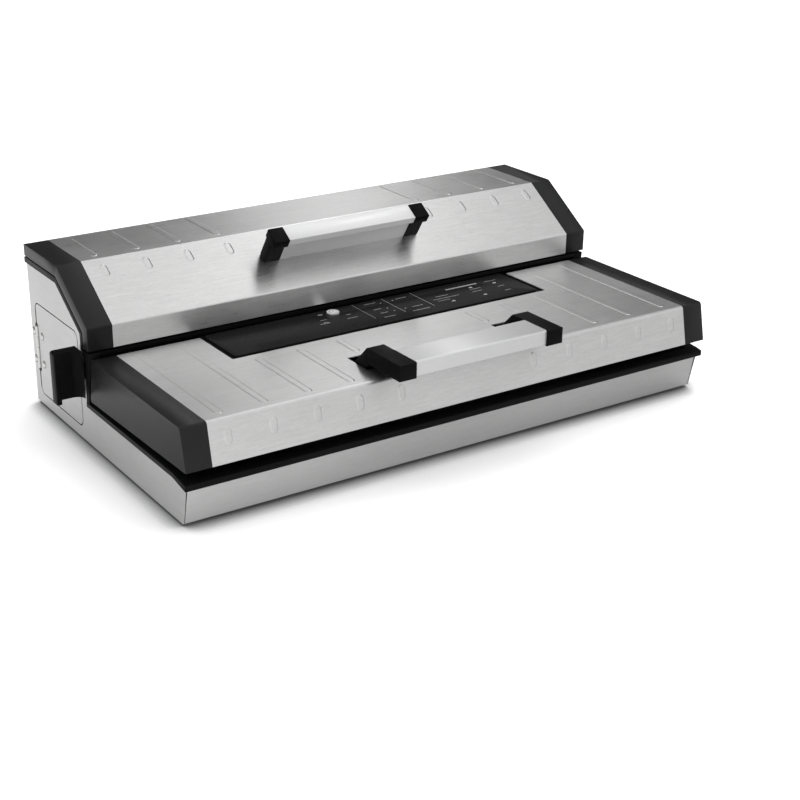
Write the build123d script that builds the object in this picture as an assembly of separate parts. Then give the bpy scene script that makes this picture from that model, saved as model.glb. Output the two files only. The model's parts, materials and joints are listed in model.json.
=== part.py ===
from build123d import *
import os
from math import atan2, cos, degrees, hypot, sin, tan

# A countertop vacuum sealer with a wide front lid over the sealing deck and a rear lid over the roll bay.
# Millimetres. While building, x runs across with 0 on the middle plane, y runs back from the front lid's
# edge and z up from the table. write() then moves every piece to the shared origin.

# Overall
side_x = 279.0            # outer face of each steel side
trim_x = 281.5            # outer face of the black trim
cap_x = 281.0             # outer face of the lid end caps
steel_x = 257.0           # where the lid steel meets its end caps
base_back = 323.0
foot_height = 3.0
sheet = 1.0               # steel sheet
floor_thick = 1.2
corner_seam = 0.6         # between the front panel and each side
moulding = 2.5            # wall of the plastic mouldings
running = 0.05            # radial clearance of pins in their bores
free_gap = 0.3            # gap between pieces that move past each other

# Base sides
front_foot_y = 12.0       # the leaning front panel, at the bottom
front_head_y = 4.5        # and at the top
rail_bottom = 41.0        # trim over the steel sides
rail_top = 45.8
rail_ramp = 23.3          # the trim falls towards the front from here
lip_bottom = 36.9
lip_top = 42.4
rail_width = 13.5
column_front = 184.4      # upright trim behind the front lid, at its head
column_front_foot = 188.0
column_back = 190.9
column_back_foot = 194.8
jog_low = 89.5            # where the upright trim steps back to follow the rear lid
jog_high = 94.0

# Sealing deck
deck_top = 44.0
wall_front = 188.6        # wall between the deck and the rear housing
ledge_gap = 2.8           # between the rear lid's skirt and the ledge under it
ledge_bottom = 91.0

# Rear lid
lid_front = 183.0
lid_back = 322.0
lid_top = 159.3
crown_y = 245.0
knee_z = 118.3
skirt_bottom = 97.0
cap_band = 10.9
lid_gap = 1.5
lid_bend = 2.0            # outer radius of the rear lid's bends
rim_band = 5.1
rear_liner = 2.0
rear_axis = (326.5, lid_top - 14.3)

# Front lid
front_top = 90.8
front_back = 178.0
brow_y = 6.4              # bend between the top and the leaning front
chin_y = -1.3
chin_z = 53.9
heel_y = 185.0            # the end caps lean back to their heel
heel_z = 49.5
heel_round = 3.0
brow_round = 3.5
notch_x = 175.2           # the lid's cut-out for the console
notch_front = 115.0
notch_round = 2.0
front_axis = (169.0, front_top - 8.8)
liner_front = 1.5
liner_bottom = 54.5
liner_thick = 2.5
cap_front_wall = 2.0
cap_rear_wall = 1.5

# Pressed beads
bead_width = 7.5
bead_rise = 0.35          # the long ones
bead_short_rise = 0.55    # and the short ones
bead_pitch = 42.0
bead_first = 72.0
bead_draft = 66.0
bead_round = 2.0          # on the bead's upper edge
bead_short = 14.5         # the beads on the leaning faces
bead_end = 3.5            # the long beads stop before the lid's back edge
bead_gap = 9.0            # and before its bends and openings
chin_bead_z = front_top - 15.2
crown_bead_front = 252.0
slope_bead = 59.2         # up the slope

# Console
console_gap = 1.5
slab_inset = 4.0
slab_thick = 2.0
slab_back = 181.0
slab_round = 4.0
ledge_drop = 2.0
button_spot = (-37.6, 170.8)
button_radius = 6.15
button_proud = 1.5
button_room = 0.15
lens_edges = (91.5, 129.7, 166.7, 169.3)
board_drop = 7.2          # board under the console's top

# Sealing line, front to back
seal_front = 40.0
seal_back = 50.0
seal_half = 156.0
gasket_front = 56.0
gasket_back = 112.0
gasket_half = 175.0
gasket_width = 8.0
gasket_round = 12.0
gasket_split = 48.2
element_thick = 0.3
tape_thick = 0.2
groove_depth = 1.2
chamber_front = 68.0
chamber_back = 100.0
chamber_half = 160.0
chamber_floor = 22.0
chamber_wall = 1.2

# Latch handle on the front lid
latch_axis = (55.0, (liner_bottom + liner_thick + front_top - sheet) / 2 + 1.6)
latch_shaft_r = 3.5
latch_half = 88.5
latch_opening_inner = 69.0
latch_opening_front = 31.0
latch_opening_back = 64.0
bar_front = -15.5
bar_back = 17.8
bar_bottom = front_top + 4.7
bar_top = front_top + 19.2
arm_over = 1.5            # the arms stand proud of the bar in front
hook_x = 235.0
hook_thick = 6.0
hook_foot = 45.2
striker = (62.0, 50.0)
striker_r = 2.0
bearing_spots = (105.0, 200.0)
bearing_half = 4.0
bearing_top = (latch_axis[1] + front_top - sheet) / 2 + 0.6

# Rear handle, measured up the slope and out from it
handle_half = 87.0
handle_cap = 16.0
head_low = 31.6
head_high = 47.7
web_low = 35.8
web_high = 45.8
web_out = 24.2
head_out = 32.0
cap_over = 0.7

# Side door
door_front = 212.0
door_axis_y = 310.5
door_axis_x = -278.7
door_bottom = 14.9
door_top = 105.3
door_round = 7.5
door_seam = 1.1
door_sheet = 1.5
knuckle_r = 1.9
knuckle_low = 39.5
knuckle_high = 81.6
knuckle_slot = 3.6        # half the round-ended slot in the steel round the knuckles
rivet_r = 1.55
rivet_head_r = 3.2
rivet_head_rise = 1.4
rivet_back = 8.0          # rivets behind the hinge's axis
rivet_front = 12.0        # and in front of it
pull_front = 202.0
pull_back = 212.0
pull_reach = 305.5
pull_low = 49.5
pull_high = 94.0
pull_lip = 4.5
pull_lip_low = 45.0
pull_root_front = 193.5
pull_round = 2.5
flange_length = 18.0      # the pull's foot on the door
flange_inset = 9.0

# Roll bay and cutter
bay_left = -269.5
bay_right = 40.0
bay_front = 198.0
bay_back = 316.0
bay_top = 104.0
bay_wall = 2.0
cutter_front = 201.0
cutter_back = 213.0
cutter_rail_height = 6.0
cutter_length = 24.0

# Hinge ears of the front lid and barrels of the rear lid
ear_x = 262.0
ear_thick = 2.5
ear_room = 1.5
pin_r = 2.5
barrel_r = 2.8
rear_hinge_x = 180.0
rear_hinge_half = 20.0
rear_barrel_half = 6.5    # the lid's own barrel, between the fixed ones
rear_pin_r = 1.5

# Machinery
pump_head_x = 120.0
fan_spot = (110.0, 75.0)
fan_size = 60.0
fan_depth = 15.0
fan_blade_r = 27.0
fan_shaft_r = 1.5
motor_r = 24.0
pump_y = 255.0
pump_z = 46.0
hose_x = 140.0
hose_z = 30.0
hose_r = 4.2
port_r = 2.8
port_length = 9.0
inlet_x = 236.0
inlet_z = 34.0
inlet_half_x = 13.7
inlet_half_z = 11.7
board_lift = 7.8          # power board above the floor
board_thick = 1.6
foot_radius = 9.0
stem_r = 2.95
screw_r = 1.55
screw_head = 1.8
vent_gap = 3.0
vent_pitch = 6.0
floor_slot = 16.0
floor_slot_first = (90.0, 150.0)
floor_slot_steps = (14.0, 8.0)
foot_spots_x = (-235.0, 0.0, 235.0)
foot_spots_y = (35.0, 300.0)

slope = atan2(lid_top - knee_z, crown_y - lid_front)
side_in = side_x - sheet
floor_top = foot_height + floor_thick
rail_in = trim_x - rail_width
rim_outer = cap_band + lid_gap
rim_inner = rim_outer + rim_band
frame_top = lid_top - rim_outer
steel_top = lid_top - rim_inner
ledge_top = skirt_bottom - ledge_gap
console_top = front_top - ledge_drop
board_top = console_top - board_drop
board_low = board_top - board_thick
power_top = floor_top + board_lift + board_thick
deck_back = wall_front + moulding
front_most = bar_front - arm_over
back_most = rear_axis[0] + barrel_r
to_origin = Pos((pull_reach - trim_x) / 2, -(front_most + back_most) / 2, 0)


def write(name, *shapes):
    """Writes one node, made of every solid in the given shapes."""
    solids = [solid for shape in shapes for solid in shape.solids()]
    export_step(to_origin * Compound(solids), f"parts/{name}.step")


def block(x0, x1, y0, y1, z0, z1):
    return Pos((x0 + x1) / 2, (y0 + y1) / 2, (z0 + z1) / 2) * Box(x1 - x0, y1 - y0, z1 - z0)


def slice_x(points, x0, x1):
    """A plate with a side outline given as (y, z) points, from x0 to x1."""
    outline = make_face(Polyline(*points, close=True))
    return extrude(Plane.YZ.offset(x0) * outline, amount=x1 - x0)


def rod_x(x0, x1, y, z, radius):
    return Pos((x0 + x1) / 2, y, z) * Rot(0, 90, 0) * Cylinder(radius, x1 - x0)


def rod_y(x, y0, y1, z, radius):
    return Pos(x, (y0 + y1) / 2, z) * Rot(90, 0, 0) * Cylinder(radius, y1 - y0)


def rod_z(x, y, z0, z1, radius):
    return Pos(x, y, (z0 + z1) / 2) * Cylinder(radius, z1 - z0)


def rounded(x0, x1, y0, y1, z0, z1, radius):
    """A block whose upright edges are round."""
    shape = RectangleRounded(x1 - x0, y1 - y0, radius)
    return extrude(Pos((x0 + x1) / 2, (y0 + y1) / 2, z0) * shape, amount=z1 - z0)


def both_sides(shape):
    return shape, mirror(shape, about=Plane.YZ)


def bead(y, z, lean, length, rise, x):
    """A pressed bead whose middle is at (x, y, z), on a face that climbs backwards by lean degrees."""
    face = Pos(x, y, z) * Rot(lean, 0, 0) * Rot(0, 0, 90)
    rib = extrude(SlotOverall(length, bead_width), amount=rise, taper=bead_draft)
    return face * fillet(rib.edges().group_by(Axis.Z)[-1], bead_round)


def bead_places(first):
    """The x places of the beads on both sides, from the given bead outwards."""
    places = [bead_first + bead_pitch * count for count in range(first, 5)]
    return [-x for x in places] + places


def housing(inset):
    """Crown and knee of the rear lid's outline, moved in by inset."""
    crown = lid_front + (lid_top - inset - knee_z + inset / cos(slope)) / tan(slope)
    knee = knee_z + inset * tan(slope) - inset / cos(slope)
    return (crown, lid_top - inset), (lid_front + inset, knee)


def up_slope(along, out):
    """(y, z) of a point on the rear lid's slope, from its lower bend."""
    y = lid_front + along * cos(slope) - out * sin(slope)
    return y, knee_z + along * sin(slope) + out * cos(slope)


def lip_under(y):
    """Height of the trim's underside where it falls to the front."""
    return lip_bottom + (rail_bottom - lip_bottom) * y / rail_ramp


def steel_side():
    """Outline of a steel side, with the front lid's step and the rear lid's slope."""
    crown, knee = housing(rim_inner)
    return [
        (base_back, foot_height),
        (front_foot_y, foot_height),
        (front_head_y, lip_under(front_head_y)),
        (rail_ramp, rail_bottom),
        (column_back_foot, rail_bottom),
        (column_back, jog_low),
        (knee[0], jog_high),
        knee,
        crown,
        (base_back, steel_top),
    ]


def door_outline(grow, thick_from, thick_to):
    """The door's rounded shape, grown by grow all round, from one x to another."""
    width = door_axis_y - door_front + 2 * grow
    height = door_top - door_bottom + 2 * grow
    middle = Pos((door_front + door_axis_y) / 2, (door_top + door_bottom) / 2)
    shape = middle * RectangleRounded(width, height, door_round + grow)
    return extrude(Plane.YZ.offset(thick_from) * shape, amount=thick_to - thick_from)


def base_shell():
    """The folded floor, the steel sides, front and back."""
    floor = block(-side_in, side_in, front_foot_y + sheet, base_back - sheet, foot_height, floor_top)
    for x in (-side_in, side_in - sheet):
        floor += block(x, x + sheet, front_foot_y + 8, base_back - 8, foot_height, foot_height + 9)
    for x in foot_spots_x:
        for y in foot_spots_y:
            floor -= rod_z(x, y, 0, floor_top, stem_r + running)
    slot = extrude(SlotOverall(floor_slot, vent_gap).rotate(Axis.Z, 90), 4)
    first_x, first_y = floor_slot_first
    step_x, step_y = floor_slot_steps
    for row in range(5):
        for column in range(9):
            floor -= Pos(first_x + step_x * row, first_y + step_y * column, foot_height - 1) * slot
    write("bottom_plate", floor)

    right = slice_x(steel_side(), side_in, side_x)
    left = mirror(right, about=Plane.YZ)
    left -= door_outline(door_seam, -side_x - 1, -side_in + 1)
    left -= knuckle_opening()
    for z in rivet_heights():
        left -= rod_x(-side_x - 1, -side_in + 1, door_axis_y + rivet_back, z, rivet_r + running)
    write("side_panel_left", left)
    write("side_panel_right", right)

    top = lip_under(front_head_y)
    front = slice_x([
        (front_foot_y, foot_height),
        (front_head_y, top),
        (front_head_y + sheet, lip_under(front_head_y + sheet)),
        (front_foot_y + sheet, foot_height),
    ], corner_seam - side_in, side_in - corner_seam)
    write("front_panel", front)

    back = block(-side_in, side_in, base_back - sheet, base_back, foot_height, steel_top)
    through = (base_back - 2, base_back + 1)
    for row in range(-4, 5):
        z = fan_spot[1] + vent_pitch * row
        half = (fan_blade_r ** 2 - (vent_pitch * row) ** 2) ** 0.5
        back -= block(fan_spot[0] - half, fan_spot[0] + half, *through, z - vent_gap / 2, z + vent_gap / 2)
    back -= block(inlet_x - inlet_half_x - 0.3, inlet_x + inlet_half_x + 0.3, *through,
                  inlet_z - inlet_half_z - 0.3, inlet_z + inlet_half_z + 0.3)
    for x, z in screw_places():
        back -= rod_y(x, *through, z, screw_r + running)
    write("rear_panel", back)
    screws = [rod_y(x, base_back, base_back + screw_head, z, 2 * screw_r)
              + rod_y(x, base_back - 7, base_back, z, screw_r) for x, z in screw_places()]
    write("case_screws", *[screw - block_slot(x, z) for screw, (x, z) in zip(screws, screw_places())])

    feet = [rod_z(x, y, 0, foot_height, foot_radius) + rod_z(x, y, foot_height, floor_top, stem_r)
            for x in foot_spots_x for y in foot_spots_y]
    write("rubber_feet", *feet)


def rivet_heights():
    return (knuckle_low + 7, knuckle_high - 7)


def screw_places():
    return [(x, z) for x in (-262.0, -60.0, 60.0, 262.0) for z in (18.0, steel_top - 9)]


def block_slot(x, z):
    """The cross recess in a screw's head."""
    across = block(x - 1.8, x + 1.8, base_back + 0.7, base_back + 3, z - 0.4, z + 0.4)
    upright = block(x - 0.4, x + 0.4, base_back + 0.7, base_back + 3, z - 1.8, z + 1.8)
    return across + upright


def deck():
    """The black deck with its side rails, and the frame round the rear housing."""
    plate = block(-side_in, side_in, rail_ramp, deck_back, rail_bottom, deck_top)
    plate += slice_x([
        (0, lip_bottom),
        (0, lip_top),
        (9, deck_top),
        (rail_ramp, deck_top),
        (rail_ramp, rail_bottom),
    ], -trim_x, trim_x)
    rail = slice_x([
        (0, lip_bottom),
        (0, lip_top),
        (rail_ramp, rail_top),
        (column_back_foot, rail_top),
        (column_back_foot, rail_bottom),
        (rail_ramp, rail_bottom),
    ], rail_in, trim_x)
    for side in both_sides(rail):
        plate += side
    hole = chamber_wall + 0.3
    plate -= block(-chamber_half - hole, chamber_half + hole, chamber_front - hole, chamber_back + hole,
                   rail_bottom - 1, deck_top + 1)
    plate -= block(-seal_half - 2.3, seal_half + 2.3, seal_front - free_gap, seal_back + free_gap,
                   rail_bottom - 1, deck_top + 1)
    plate -= gasket_ring(deck_top - groove_depth, deck_top + 1, 0.1)
    plate -= block(-22, 12, 146, 154, rail_bottom - 1, deck_top + 1)
    write("deck_moulding", plate)

    outer_crown, outer_knee = housing(rim_outer)
    inner_crown, inner_knee = housing(rim_inner)
    band = slice_x([
        (base_back, frame_top),
        outer_crown,
        outer_knee,
        (outer_knee[0], ledge_top),
        (column_front, ledge_top),
        (column_front_foot, rail_top),
        (column_back_foot, rail_top),
        (column_back, jog_low),
        (inner_knee[0], jog_high),
        inner_knee,
        inner_crown,
        (base_back, steel_top),
    ], rail_in + 2, cap_x)
    half = rail_in + 2
    frame = block(-rail_in, rail_in, wall_front, deck_back, deck_top, rail_top)
    frame += block(-half, half, wall_front, deck_back, rail_top, ledge_bottom)
    frame += block(-half, half, column_front, outer_knee[0], ledge_bottom, ledge_top)
    frame += block(-half, half, base_back - 10, base_back, steel_top, frame_top)
    for side in both_sides(band):
        frame += side
    write("rear_frame", frame)


def gasket_ring(z0, z1, grow):
    """The seal round the vacuum chamber, seen from above a ring with round corners."""
    half = gasket_half + grow
    outer = rounded(-half, half, gasket_front - grow, gasket_back + grow, z0, z1, gasket_round)
    inset = gasket_width + grow
    half = gasket_half - inset
    return outer - rounded(-half, half, gasket_front + inset, gasket_back - inset, z0 - 1, z1 + 1,
                           gasket_round / 2)


def sealing_parts():
    """Vacuum chamber, gaskets and the heated sealing line."""
    w = chamber_wall
    tray = rounded(-chamber_half - w, chamber_half + w, chamber_front - w, chamber_back + w,
                   chamber_floor - w, deck_top, 7)
    tray += rounded(-chamber_half - 4, chamber_half + 4, chamber_front - 3.4, chamber_back + 3.4,
                    deck_top, deck_top + 0.8, 8)
    tray -= rounded(-chamber_half, chamber_half, chamber_front, chamber_back, chamber_floor, deck_top + 2, 6)
    back = chamber_back + w
    tray += rod_y(hose_x, back - 0.5, back + port_length, hose_z, port_r)
    tray -= rod_y(hose_x, chamber_back - 1, back + port_length + 1, hose_z, port_r - 1)
    write("vacuum_chamber", tray)

    write("lower_gasket", gasket_ring(deck_top - groove_depth, gasket_split, 0))
    write("upper_gasket", gasket_ring(gasket_split + free_gap, liner_bottom + groove_depth, 0))

    bar_low = deck_top - 9
    bar_high = deck_top + 2.5
    holder = block(-seal_half - 2, seal_half + 2, seal_front, seal_back, bar_low, bar_high)
    holder += block(-seal_half - 2, seal_half + 2, seal_front - 4, seal_back + 4, bar_low, rail_bottom)
    write("heating_bar", holder)
    tape_low = bar_high + element_thick
    strips = [block(-seal_half + 4, seal_half - 4, y, y + 1.5, bar_high, tape_low)
              for y in (seal_front + 2.5, seal_back - 4)]
    write("heating_elements", *strips)
    tape_top = tape_low + tape_thick
    write("sealing_tape", block(-seal_half, seal_half, seal_front, seal_back, tape_low, tape_top))
    strip_low = tape_top + free_gap
    strip = block(-seal_half, seal_half, seal_front, seal_back, strip_low, liner_bottom + groove_depth)
    write("pressure_strip", strip)


def console():
    """The control console that stands in the front lid's cut-out."""
    x = notch_x - console_gap
    y = notch_front + console_gap
    shell = rounded(-x, x, y, wall_front + 10, deck_top, console_top, notch_round - 1)
    shell -= block(-x - 1, x + 1, wall_front, wall_front + 20, deck_top - 1, console_top + 1)
    shell -= block(-x + moulding, x - moulding, y + moulding, wall_front - moulding, deck_top - 1,
                   console_top - moulding)
    for px in (-140, 0, 140):
        shell += rod_z(px, y + 20, board_top, console_top - moulding, 3)
    bx, by = button_spot
    shell -= rod_z(bx, by, console_top - 5, console_top + 1, button_radius + button_room)
    write("console_housing", shell)

    slab = rounded(-x + slab_inset, x - slab_inset, y + slab_inset, slab_back, console_top,
                   console_top + slab_thick, slab_round)
    slab -= rod_z(bx, by, console_top - 1, console_top + 5, button_radius + button_room)
    lens = block(*lens_edges, console_top + slab_thick - 1, console_top + slab_thick)
    write("control_overlay", slab - lens)
    write("display_lens", lens)

    board = block(-150, 150, y + 8, wall_front - moulding - 2, board_low, board_top)
    tact = block(bx - 3, bx + 3, by - 3, by + 3, board_top, board_top + 1.2)
    chip = block(20, 34, 140, 154, board_low - 1.6, board_low)
    write("control_board", board, tact, chip)

    under = console_top - moulding
    flange_top = under - 0.2
    button = rod_z(bx, by, flange_top, console_top + slab_thick + button_proud, button_radius)
    button += rod_z(bx, by, flange_top - 1.5, flange_top, button_radius + 1.5)
    button -= block(bx - 9, bx + 9, by + button_radius + 0.2, by + 10, flange_top - 3, flange_top + 0.1)
    crown = button.edges().group_by(Axis.Z)[-1]
    write("start_button", fillet(crown, 0.6))

    cable = block(-20, 10, 149.6, 150.4, power_top, board_low)
    write("ribbon_cable", cable)


def electrics():
    """Power board, transformer and mains inlet."""
    z = floor_top + board_lift
    top = power_top
    board = block(-150, 120, 106, 176, z, top)
    posts = [rod_z(x, y, floor_top, z, 3) for x in (-143, 113) for y in (113, 169)]
    write("power_board", board, *posts)
    relays = [block(x, x + 19, 158, 173, top, top + 15) for x in (-140, -112, -84)]
    caps = [rod_z(x, 120, top, top + 20, 6.5) for x in (-130, -112)]
    sink = block(40, 100, 112, 126, top, top + 3)
    for count in range(8):
        sink += block(40 + 8 * count, 42 + 8 * count, 112, 126, top + 3, top + 22)
    write("board_components", *relays, *caps, sink)

    core = block(52, 100, 214, 276, floor_top, floor_top + 42)
    core -= block(50, 102, 226, 236, floor_top + 9, floor_top + 33)
    core -= block(50, 102, 254, 264, floor_top + 9, floor_top + 33)
    coil = rounded(46, 106, 227, 263, floor_top + 9.5, floor_top + 32.5, 4)
    coil -= block(51.8, 100.2, 235.8, 254.2, floor_top + 8, floor_top + 34)
    write("transformer_core", core)
    write("transformer_coil", coil)

    socket = block(inlet_x - inlet_half_x, inlet_x + inlet_half_x, base_back - 24, base_back,
                   inlet_z - inlet_half_z, inlet_z + inlet_half_z)
    socket += block(inlet_x - 18, inlet_x + 18, base_back, base_back + 2, inlet_z - 15, inlet_z + 15)
    socket -= rounded(inlet_x - 11.5, inlet_x + 11.5, base_back - 18, base_back + 3, inlet_z - 8,
                      inlet_z + 8, 2)
    for dx, dz in ((-7, -2), (0, 2), (7, -2)):
        blade = block(inlet_x + dx - 1, inlet_x + dx + 1, base_back - 20, base_back - 6, inlet_z + dz - 2.2,
                      inlet_z + dz + 2.2)
        socket += blade
    write("power_inlet", socket)


def machinery():
    """Pump, valve, hose and fan in the right half of the rear housing."""
    y, z = pump_y, pump_z
    head_back = pump_head_x + 50
    motor = rod_x(head_back, head_back + 86, y, z, motor_r) + rod_x(head_back + 86, head_back + 92, y, z, 9)
    write("pump_motor", motor)
    head = block(pump_head_x, head_back, y - 30, y + 30, z - 30, z + 34)
    head -= block(pump_head_x + 16, pump_head_x + 34, y - 31, y + 31, z + 18, z + 36)
    write("pump_head", head)
    bracket_top = z - 30
    bracket_low = bracket_top - 2
    bracket = block(pump_head_x, head_back + 86, y - 36, y + 36, bracket_low, bracket_top)
    for x in (head_back + 8, head_back + 62):
        cradle = block(x, x + 12, y - 26, y + 26, bracket_top, z - 4)
        bracket += cradle - rod_x(x - 1, x + 13, y, z, motor_r)
    mounts = []
    for x in (pump_head_x + 7, head_back + 79):
        for dy in (-32.5, 32.5):
            bracket -= rod_z(x, y + dy, bracket_low - 1, bracket_top + 1, 2.2)
            mount = rod_z(x, y + dy, floor_top, bracket_low, 4.6)
            mounts.append(mount + rod_z(x, y + dy, bracket_low, bracket_top + 2, 2.15))
    write("pump_bracket", bracket)
    write("pump_mounts", *mounts)
    valve_front = y - 54
    valve = block(hose_x - 12, hose_x + 12, valve_front, y - 30, hose_z - 10, hose_z + 12)
    valve += rod_z(hose_x, y - 42, hose_z + 12, hose_z + 30, 8)
    write("solenoid_valve", valve)
    hose_front = chamber_back + chamber_wall + 0.5
    hose = rod_y(hose_x, hose_front, valve_front, hose_z, hose_r)
    hose -= rod_y(hose_x, hose_front - 1, valve_front + 1, hose_z, port_r)
    write("vacuum_hose", hose)

    x, fz = fan_spot
    back = base_back - sheet
    half = fan_size / 2
    frame = block(x - half, x + half, back - fan_depth, back, fz - half, fz + half)
    frame -= rod_y(x, back - fan_depth - 1, back + 1, fz, fan_blade_r + 1.3)
    for turn in range(4):
        arm = block(9, fan_blade_r + 2, back - 2.5, back, -1.5, 1.5)
        frame += Pos(x, 0, fz) * Rot(0, 45 + 90 * turn, 0) * arm
    frame += rod_y(x, back - 2.5, back, fz, 11)
    frame += rod_y(x, back - fan_depth + 1, back - 2.5, fz, fan_shaft_r)
    write("fan_frame", frame)
    rotor_back = back - 2.5 - free_gap
    rotor_front = back - fan_depth + 1
    rotor = rod_y(x, rotor_front, rotor_back, fz, 10)
    for turn in range(7):
        vane = Rot(30, 0, 0) * block(9, fan_blade_r, -0.6, 0.6, -5.5, 5.5)
        rotor += Pos(x, (rotor_front + rotor_back) / 2, fz) * Rot(0, turn * 360 / 7, 0) * vane
    rotor -= rod_y(x, rotor_front - 1, rotor_back + 1, fz, fan_shaft_r + running)
    write("fan_rotor", rotor)

    cover = block(bay_right + 2, -bay_left, bay_front, bay_back, bay_top + 6, bay_top + 8)
    cover += block(bay_right + 2, -bay_left, bay_front, bay_front + bay_wall, floor_top, bay_top + 6)
    cover -= rod_y(hose_x, bay_front - 1, bay_front + 3, hose_z, hose_r + 0.3)
    for count in range(10):
        cover -= block(70 + 16 * count, 74 + 16 * count, bay_back - 60, bay_back - 20, bay_top + 5,
                       bay_top + 9)
    write("equipment_cover", cover)


def roll_bay():
    """Trough for the film roll, with the cutter rail on its front edge."""
    w = bay_wall
    liner = block(bay_left, bay_right, bay_front, bay_back, floor_top, bay_top)
    liner -= block(bay_left - 1, bay_right - w, bay_front + w, bay_back - w, floor_top + w, bay_top + 1)
    liner += block(bay_left, bay_right, bay_front, cutter_back + 1, bay_top - w, bay_top)
    write("roll_bay_liner", liner)

    rail_high = bay_top + cutter_rail_height
    middle = (cutter_front + cutter_back) / 2
    rail = block(bay_left + 6, bay_right - 4, cutter_front, cutter_back, bay_top, rail_high)
    rail -= block(bay_left + 5, bay_right - 3, middle - 1.5, middle + 1.5, bay_top + 2, rail_high + 1)
    write("cutter_rail", rail)
    left = bay_left + 16
    right = left + cutter_length
    slider = block(left, right, cutter_front + 1, cutter_back - 1, rail_high + free_gap, rail_high + 9)
    slider += block(left, right, middle - 1.2, middle + 1.2, bay_top + 2 + free_gap, rail_high + free_gap)
    slider -= rod_y((left + right) / 2, cutter_front, cutter_back, rail_high + 15, 8)
    write("cutter_slider", slider)
    blade = block(right, right + 4, middle - 0.3, middle + 0.3, bay_top + 2 + free_gap, rail_high + 7)
    write("cutter_blade", blade)


def rear_lid():
    """Rear lid: steel skin, end caps, inner panel and handle."""
    crown, knee = housing(0)
    inner_crown, inner_knee = housing(sheet)
    back_low = lid_top - cap_band + 1
    outline = [
        (lid_back, back_low),
        (lid_back, lid_top),
        crown,
        knee,
        (lid_front, skirt_bottom),
        (lid_front + sheet, skirt_bottom),
        inner_knee,
        inner_crown,
        (lid_back - sheet, lid_top - sheet),
        (lid_back - sheet, back_low),
    ]
    skin = slice_x(outline, -steel_x, steel_x)
    for bend in (crown, knee):
        skin = fillet(skin.edges().filter_by(Axis.X).sort_by_distance((0, *bend))[:1], lid_bend)
    for bend in (inner_crown, inner_knee):
        skin = fillet(skin.edges().filter_by(Axis.X).sort_by_distance((0, *bend))[:1], lid_bend - sheet)
    lean = degrees(slope)
    bead_back = lid_back - bead_end
    for x in bead_places(1):
        length = bead_back - crown_bead_front
        skin += bead(crown_bead_front + length / 2, lid_top, 0, length, bead_rise, x)
        y, z = up_slope(slope_bead, 0)
        skin += bead(y, z, lean, bead_short, bead_short_rise, x)
    write("rear_lid_skin", skin)

    cap_crown, cap_knee = housing(cap_band)
    cap = slice_x([
        (lid_back, lid_top - cap_band),
        (lid_back, lid_top),
        crown,
        knee,
        (lid_front, skirt_bottom),
        (lid_front + cap_band, skirt_bottom),
        cap_knee,
        cap_crown,
    ], steel_x, cap_x)
    for bend in (crown, knee):
        cap = fillet(cap.edges().filter_by(Axis.X).sort_by_distance((steel_x, *bend))[:1], lid_bend)
    hollow_crown, hollow_knee = housing(moulding)
    deep_crown, deep_knee = housing(cap_band + 1)
    cap -= slice_x([
        (lid_back - moulding, lid_top - cap_band - 1),
        (lid_back - moulding, lid_top - moulding),
        hollow_crown,
        hollow_knee,
        (lid_front + moulding, skirt_bottom + moulding),
        (lid_front + cap_band + 1, skirt_bottom + moulding),
        deep_knee,
        deep_crown,
    ], steel_x + moulding, cap_x - moulding)
    write("rear_lid_caps", *both_sides(cap))

    liner_crown, liner_knee = housing(sheet + rear_liner)
    liner = slice_x([
        (lid_back - 3, lid_top - sheet),
        inner_crown,
        inner_knee,
        (lid_front + sheet, skirt_bottom + 2),
        (lid_front + sheet + rear_liner, skirt_bottom + 2),
        liner_knee,
        liner_crown,
        (lid_back - 3, lid_top - sheet - rear_liner),
    ], -steel_x, steel_x)
    for bend in (inner_crown, inner_knee):
        liner = fillet(liner.edges().filter_by(Axis.X).sort_by_distance((0, *bend))[:1], lid_bend - sheet)
    write("rear_lid_liner", liner)

    grip = slice_x([
        up_slope(web_low, 0),
        up_slope(web_high, 0),
        up_slope(web_high, web_out),
        up_slope(head_high, web_out),
        up_slope(head_high, head_out),
        up_slope(head_low, head_out),
        up_slope(head_low, web_out),
        up_slope(web_low, web_out),
    ], handle_cap - handle_half, handle_half - handle_cap)
    write("rear_handle_bar", grip)
    over = cap_over
    end = slice_x([
        up_slope(web_low - over, 0),
        up_slope(web_high + over, 0),
        up_slope(web_high + over, web_out - over),
        up_slope(head_high + over, web_out - over),
        up_slope(head_high + over, head_out + over),
        up_slope(head_low - over, head_out + over),
        up_slope(head_low - over, web_out - over),
        up_slope(web_low - over, web_out - over),
    ], handle_half - handle_cap, handle_half)
    write("rear_handle_ends", *both_sides(end))


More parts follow.
